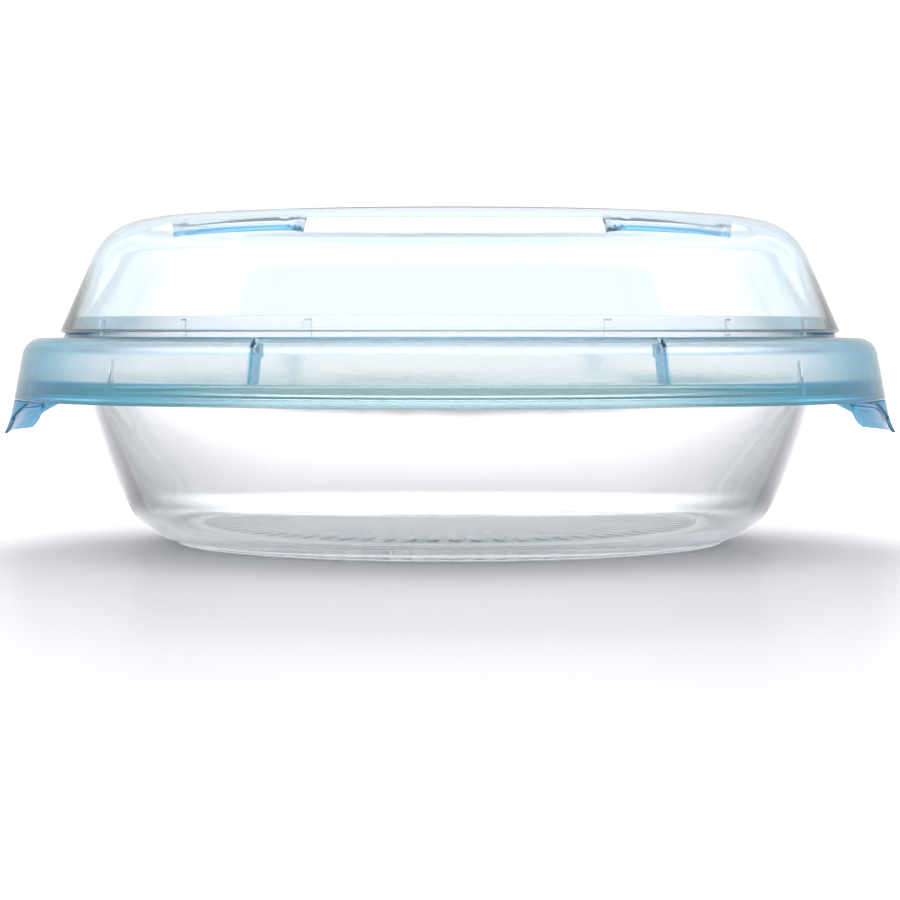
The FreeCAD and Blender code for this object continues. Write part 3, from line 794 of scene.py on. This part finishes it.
def clear_material(name, tint, density, roughness, bump, bump_scale, milk=0.0, refraction=REFRACTION):
    """A refracting solid with an even tint in its depth, faint handling marks and a slightly uneven surface.

    milk is the share of light that its surfaces scatter instead of letting it through.
    """
    material = bpy.data.materials.new(name)
    material.use_nodes = True
    nodes = material.node_tree.nodes
    links = material.node_tree.links
    shader = nodes["Principled BSDF"]
    output = nodes["Material Output"]
    shader.inputs["Transmission Weight"].default_value = 1.0 - milk
    shader.inputs["IOR"].default_value = refraction

    coordinates = nodes.new("ShaderNodeTexCoord")
    marks = nodes.new("ShaderNodeTexNoise")
    marks.inputs["Scale"].default_value = MARKS_SCALE
    marks.inputs["Detail"].default_value = MARKS_DETAIL
    links.new(coordinates.outputs["Object"], marks.inputs["Vector"])
    spread = nodes.new("ShaderNodeMapRange")
    spread.inputs["From Min"].default_value = MARKS_RANGE[0]
    spread.inputs["From Max"].default_value = MARKS_RANGE[1]
    spread.inputs["To Min"].default_value = roughness[0]
    spread.inputs["To Max"].default_value = roughness[1]
    links.new(marks.outputs["Fac"], spread.inputs["Value"])
    links.new(spread.outputs["Result"], shader.inputs["Roughness"])

    waves = nodes.new("ShaderNodeTexNoise")
    waves.inputs["Scale"].default_value = bump_scale
    waves.inputs["Detail"].default_value = WAVES_DETAIL
    links.new(coordinates.outputs["Object"], waves.inputs["Vector"])
    relief = nodes.new("ShaderNodeBump")
    relief.inputs["Strength"].default_value = bump
    relief.inputs["Distance"].default_value = WAVES_DEPTH
    links.new(waves.outputs["Fac"], relief.inputs["Height"])
    links.new(relief.outputs["Normal"], shader.inputs["Normal"])

    depth = nodes.new("ShaderNodeVolumeAbsorption")
    depth.inputs["Color"].default_value = (*tint, 1)
    depth.inputs["Density"].default_value = density
    links.new(depth.outputs["Volume"], output.inputs["Volume"])
    return material


def mix_colours(tree, factor, colour_a, colour_b):
    """A colour between two others, each given as numbers or as a socket."""
    mix = tree.nodes.new("ShaderNodeMix")
    mix.data_type = "RGBA"
    for name, colour in (("A", colour_a), ("B", colour_b)):
        if isinstance(colour, tuple):
            mix.inputs[name].default_value = (*colour, 1)
        else:
            tree.links.new(colour, mix.inputs[name])
    tree.links.new(factor, mix.inputs["Factor"])
    return mix.outputs["Result"]


def place_parts(tree):
    """X, Y and Z of the shaded point in the object's own frame, as sockets."""
    place = tree.nodes.new("ShaderNodeTexCoord")
    parts = tree.nodes.new("ShaderNodeSeparateXYZ")
    tree.links.new(place.outputs["Object"], parts.inputs["Vector"])
    return [parts.outputs[axis] for axis in "XYZ"]


def paint_edge_shade(material, low, high, face_colour, edge_shade_colour):
    """Paints shade into a plastic's colour: a deeper blue as it turns edge-on, from one facing value to
    another, standing in for the longer path light takes through it. Returns the colour.
    """
    tree = material.node_tree
    facing = tree.nodes.new("ShaderNodeLayerWeight").outputs["Facing"]
    colour = mix_colours(tree, link_range(tree, facing, low, high, 0.0, 1.0), face_colour, edge_shade_colour)
    tree.links.new(colour, tree.nodes["Principled BSDF"].inputs["Base Color"])
    return colour


def paint_shade_where(material, colour, factor, tint):
    """Multiplies a material's colour by a painted shade colour, as far as the factor goes. Returns the
    colour.
    """
    tree = material.node_tree
    product = tree.nodes.new("ShaderNodeVectorMath")
    product.operation = "MULTIPLY"
    tree.links.new(colour, product.inputs[0])
    tree.links.new(mix_colours(tree, factor, WHITE, tint), product.inputs[1])
    tree.links.new(product.outputs["Vector"], tree.nodes["Principled BSDF"].inputs["Base Color"])
    return product.outputs["Vector"]


def paint_ring_shade(material, colour, low_shade_front, low_shade_side, rib_shade_colour):
    """Paints shade: a deeper blue along the ring's lower band and on its four seat ribs, where light runs
    inside it.

    The lower band also scatters a little light towards the tabs.
    """
    tree = material.node_tree
    x, y, z = place_parts(tree)
    side, front = (link_maths(tree, "ABSOLUTE", value) for value in (x, y))
    heights = [(DISH_HEIGHT + rise) * MM for rise in RING_LOW_FADE]
    reaches = [part * SKIRT_RADIUS * MM for part in RING_SIDE_FADE]
    low = link_range(tree, z, *heights, 1.0, 0.0)
    beside = link_range(tree, side, *reaches, 0.0, 1.0)
    colour = paint_shade_where(material, colour, low, mix_colours(tree, beside, low_shade_front, low_shade_side))
    clear = 1.0 - RING_MILK
    share = link_maths(tree, "MULTIPLY_ADD", link_maths(tree, "MULTIPLY", low, beside), -LOW_MILK, clear)
    tree.links.new(share, tree.nodes["Principled BSDF"].inputs["Transmission Weight"])
    azimuth = link_maths(tree, "ARCTAN2", front, side)
    half = (RIB_HALF_WIDTH + RIB_FLANK) / SKIRT_RADIUS
    on_rib = link_maths(tree, "COMPARE", azimuth, math.radians(SEAT_RIB_ANGLE), half)
    above = link_maths(tree, "GREATER_THAN", z, RIB_FOOT_Z * MM)
    below = link_maths(tree, "LESS_THAN", z, (RING_Z - RING_THICKNESS) * MM)
    on_rib = link_maths(tree, "MULTIPLY", on_rib, link_maths(tree, "MULTIPLY", above, below))
    paint_shade_where(material, colour, on_rib, rib_shade_colour)


def soften_foot(material):
    """Lets the dome's foot scatter light, where its cut edge is left matt by the mould."""
    tree = material.node_tree
    z = place_parts(tree)[2]
    low, high = (SEAT_Z + DOME_FOOT_MATT) * MM, (SEAT_Z + 2 * DOME_FOOT_MATT) * MM
    share = link_range(tree, z, low, high, 1.0 - DOME_FOOT_MILK, 1.0)
    tree.links.new(share, tree.nodes["Principled BSDF"].inputs["Transmission Weight"])


def paint_pocket_shade(material, colour, tint):
    """Paints shade: a deep blue on the lowest part of the dome's pockets, where they are seen edge-on."""
    tree = material.node_tree
    x, y, z = place_parts(tree)
    radius = link_maths(tree, "SQRT", link_squares(tree, x, y))
    reach = (POCKET_HALF_WIDTH + POCKET_FLOOR + POCKET_MARGIN) * MM
    within = link_maths(tree, "COMPARE", radius, POCKET_RADIUS * MM, reach)
    bottom = (DOME_TOP - POCKET_DEPTH - POCKET_FLOOR) * MM
    low = link_maths(tree, "COMPARE", z, bottom, POCKET_SHADE_HEIGHT * MM)
    paint_shade_where(material, colour, link_maths(tree, "MULTIPLY", within, low), tint)


def paint(piece, material):
    piece.data.materials.clear()
    piece.data.materials.append(material)


# ---- stage ---------------------------------------------------------------------------------------------
def when_camera(tree, direct, shade):
    """One number for what the camera sees directly, and a shade for light that the object passes on."""
    path = tree.nodes.new("ShaderNodeLightPath")
    difference = link_maths(tree, "SUBTRACT", direct, shade)
    return link_maths(tree, "MULTIPLY_ADD", path.outputs["Is Camera Ray"], difference, shade)


def make_floor():
    """A pale glossy table with painted light and shade: through the glass it shows greyer at the object's two
    sides and brighter under the dish, and the far floor is lighter to the camera.
    """
    mesh = bpy.data.meshes.new("floor")
    half = FLOOR_SIZE / 2
    level = cad_box[0][2]
    corners = [(-half, -half, level), (half, -half, level), (half, half, level), (-half, half, level)]
    mesh.from_pydata(corners, [], [(0, 1, 2, 3)])
    floor = bpy.data.objects.new("floor", mesh)
    bpy.context.collection.objects.link(floor)
    material = bpy.data.materials.new("pale_floor")
    material.use_nodes = True
    tree = material.node_tree
    shader = tree.nodes["Principled BSDF"]
    place = tree.nodes.new("ShaderNodeTexCoord")
    parts = tree.nodes.new("ShaderNodeSeparateXYZ")
    tree.links.new(place.outputs["Object"], parts.inputs["Vector"])
    length = tree.nodes.new("ShaderNodeVectorMath")
    length.operation = "LENGTH"
    tree.links.new(place.outputs["Object"], length.inputs[0])
    radius = length.outputs["Value"]
    sine = link_maths(tree, "DIVIDE", link_maths(tree, "ABSOLUTE", parts.outputs["X"]), radius)
    beside = link_range(tree, sine, *FLOOR_GREY_SINES, 0.0, 1.0)
    under = link_range(tree, radius, *FLOOR_INSIDE_RANGE, FLOOR_INSIDE, FLOOR_UNDER)
    fade = link_range(tree, radius, *FLOOR_UNDER_RANGE, 0.0, 1.0)
    rest = link_maths(tree, "SUBTRACT", FLOOR_SEEN, under)
    base = link_maths(tree, "MULTIPLY_ADD", fade, rest, under)
    away = link_range(tree, radius, *FLOOR_GREY_START, 0.0, 1.0)
    far = link_range(tree, radius, *FLOOR_GREY_END, 1.0, 0.0)
    weight = link_maths(tree, "MULTIPLY", beside, link_maths(tree, "MULTIPLY", away, far))
    greyer = link_maths(tree, "SUBTRACT", FLOOR_GREY, base)
    shade = link_maths(tree, "MULTIPLY_ADD", weight, greyer, base)
    colour = tree.nodes.new("ShaderNodeMix")
    colour.data_type = "RGBA"
    colour.inputs["A"].default_value = (0, 0, 0, 1)
    colour.inputs["B"].default_value = (*FLOOR_COLOUR, 1)
    colour.clamp_factor = False
    horizon = link_range(tree, radius, *FLOOR_HORIZON_RANGE, 1.0, FLOOR_HORIZON)
    tree.links.new(when_camera(tree, horizon, shade), colour.inputs["Factor"])
    tree.links.new(colour.outputs["Result"], shader.inputs["Base Color"])
    shader.inputs["Roughness"].default_value = FLOOR_ROUGHNESS
    shader.inputs["Specular IOR Level"].default_value = FLOOR_SHINE
    paint(floor, material)


def make_world():
    """White all round, softer at the diagonals so that clear edges read, and dimmer where it is mirrored."""
    world = bpy.data.worlds.new("studio")
    bpy.context.scene.world = world
    world.use_nodes = True
    tree = world.node_tree
    background = tree.nodes["Background"]
    background.inputs["Color"].default_value = (1, 1, 1, 1)
    direction = tree.nodes.new("ShaderNodeTexCoord")
    parts = tree.nodes.new("ShaderNodeSeparateXYZ")
    tree.links.new(direction.outputs["Generated"], parts.inputs["Vector"])
    x, y, z = (parts.outputs[axis] for axis in "XYZ")
    product = link_maths(tree, "ABSOLUTE", link_maths(tree, "MULTIPLY", x, y))
    squares = link_maths(tree, "ADD", link_squares(tree, x, y), WORLD_POLE)
    diagonal = link_maths(tree, "DIVIDE", link_maths(tree, "MULTIPLY", product, 2.0), squares)
    shade = link_range(tree, diagonal, *WORLD_GREY_RANGE, 1.0, WORLD_GREY)
    overhead = link_range(tree, z, *WORLD_OVERHEAD_RANGE, 0.0, 1.0)
    light = link_maths(tree, "MAXIMUM", shade, overhead)
    path = tree.nodes.new("ShaderNodeLightPath")
    fill = link_maths(tree, "MULTIPLY_ADD", path.outputs["Is Diffuse Ray"], DIFFUSE_FILL - 1.0, 1.0)
    fill = link_maths(tree, "MULTIPLY", fill, WORLD_STRENGTH)
    mirrored = link_maths(tree, "SUBTRACT", path.outputs["Is Reflection Ray"], path.outputs["Is Diffuse Ray"])
    dimmed = link_range(tree, mirrored, 0.0, 1.0, 1.0, WORLD_REFLECTED)
    fill = link_maths(tree, "MULTIPLY", fill, dimmed)
    strength = link_maths(tree, "MULTIPLY", when_camera(tree, 1.0, light), fill)
    tree.links.new(strength, background.inputs["Strength"])


def make_light(name, place, target, size, power):
    data = bpy.data.lights.new(name, "AREA")
    data.shape = "RECTANGLE"
    data.size, data.size_y = size
    data.energy = power
    lamp = bpy.data.objects.new(name, data)
    lamp.location = place
    lamp.rotation_euler = (Vector(target) - Vector(place)).to_track_quat("-Z", "Y").to_euler()
    lamp.visible_glossy = False
    lamp.visible_transmission = False
    bpy.context.collection.objects.link(lamp)


def make_camera():
    data = bpy.data.cameras.new("camera")
    data.lens = CAMERA_LENS
    data.clip_start = CAMERA_NEAR
    camera = bpy.data.objects.new("camera", data)
    yaw = math.radians(CAMERA_YAW)
    camera.location = (-CAMERA_DISTANCE * math.sin(yaw), -CAMERA_DISTANCE * math.cos(yaw), CAMERA_HEIGHT)
    camera.rotation_euler = (math.radians(90.0 - CAMERA_PITCH), 0, -yaw)
    bpy.context.collection.objects.link(camera)
    bpy.context.scene.camera = camera


# ---- assembly ------------------------------------------------------------------------------------------
glass = clear_material(
    "pressed_glass", GLASS_TINT, GLASS_DENSITY, GLASS_ROUGHNESS, GLASS_BUMP, GLASS_WAVES
)
clear_plastic = clear_material(
    "clear_blue_plastic", DOME_TINT, DOME_DENSITY, DOME_ROUGHNESS, DOME_BUMP, DOME_WAVES
)
satin_plastic = clear_material(
    "satin_blue_plastic",
    RING_TINT,
    RING_DENSITY,
    RING_ROUGHNESS,
    SATIN_BUMP,
    SATIN_WAVES,
    milk=RING_MILK,
    refraction=RING_REFRACTION,
)
tab_plastic = clear_material(
    "tab_blue_plastic",
    RING_TINT,
    TAB_DENSITY,
    TAB_ROUGHNESS,
    SATIN_BUMP,
    SATIN_WAVES,
    milk=TAB_MILK,
    refraction=TAB_REFRACTION,
)
# Painted shade: deeper blues where the plastics turn edge-on, in the dome's pockets, and along the ring's
# lower band and seat ribs.
dome_shaded_colour = paint_edge_shade(clear_plastic, *DOME_EDGE_RANGE, WHITE, DOME_EDGE_SHADE)
paint_pocket_shade(clear_plastic, dome_shaded_colour, POCKET_SHADE_BLUE)
soften_foot(clear_plastic)
ring_shaded_colour = paint_edge_shade(satin_plastic, *RING_EDGE_RANGE, RING_FACE, RING_EDGE_SHADE)
paint_ring_shade(satin_plastic, ring_shaded_colour, RING_LOW_SHADE_FRONT, RING_LOW_SHADE_SIDE, RING_RIB_SHADE)
paint_edge_shade(tab_plastic, *TAB_EDGE_RANGE, TAB_FACE, TAB_EDGE_SHADE)

dish = make_dish()
paint(dish, glass)
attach(dish, "dish")
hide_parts("glass_dish")

dome = make_dome()
paint(dome, clear_plastic)
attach(dome, "lid")
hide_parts("lid_dome")

ring = make_ring()
paint(ring, satin_plastic)
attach(ring, "lid")
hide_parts("lid_ring")

for node, side in (("right_tab", 1), ("left_tab", -1)):
    tab = make_tab(node + "_flap", side)
    paint(tab, tab_plastic)
    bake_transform(tab)
    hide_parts(node)

make_floor()
make_world()
make_light("back_softbox", LAMP_PLACE, LAMP_TARGET, LAMP_SIZE, LAMP_POWER)
make_camera()

scene = bpy.context.scene
scene.view_settings.view_transform = "Standard"
scene.cycles.max_bounces = CLEAR_BOUNCES
scene.cycles.transmission_bounces = CLEAR_BOUNCES
scene.cycles.glossy_bounces = GLOSSY_BOUNCES
scene.cycles.diffuse_bounces = DIFFUSE_BOUNCES
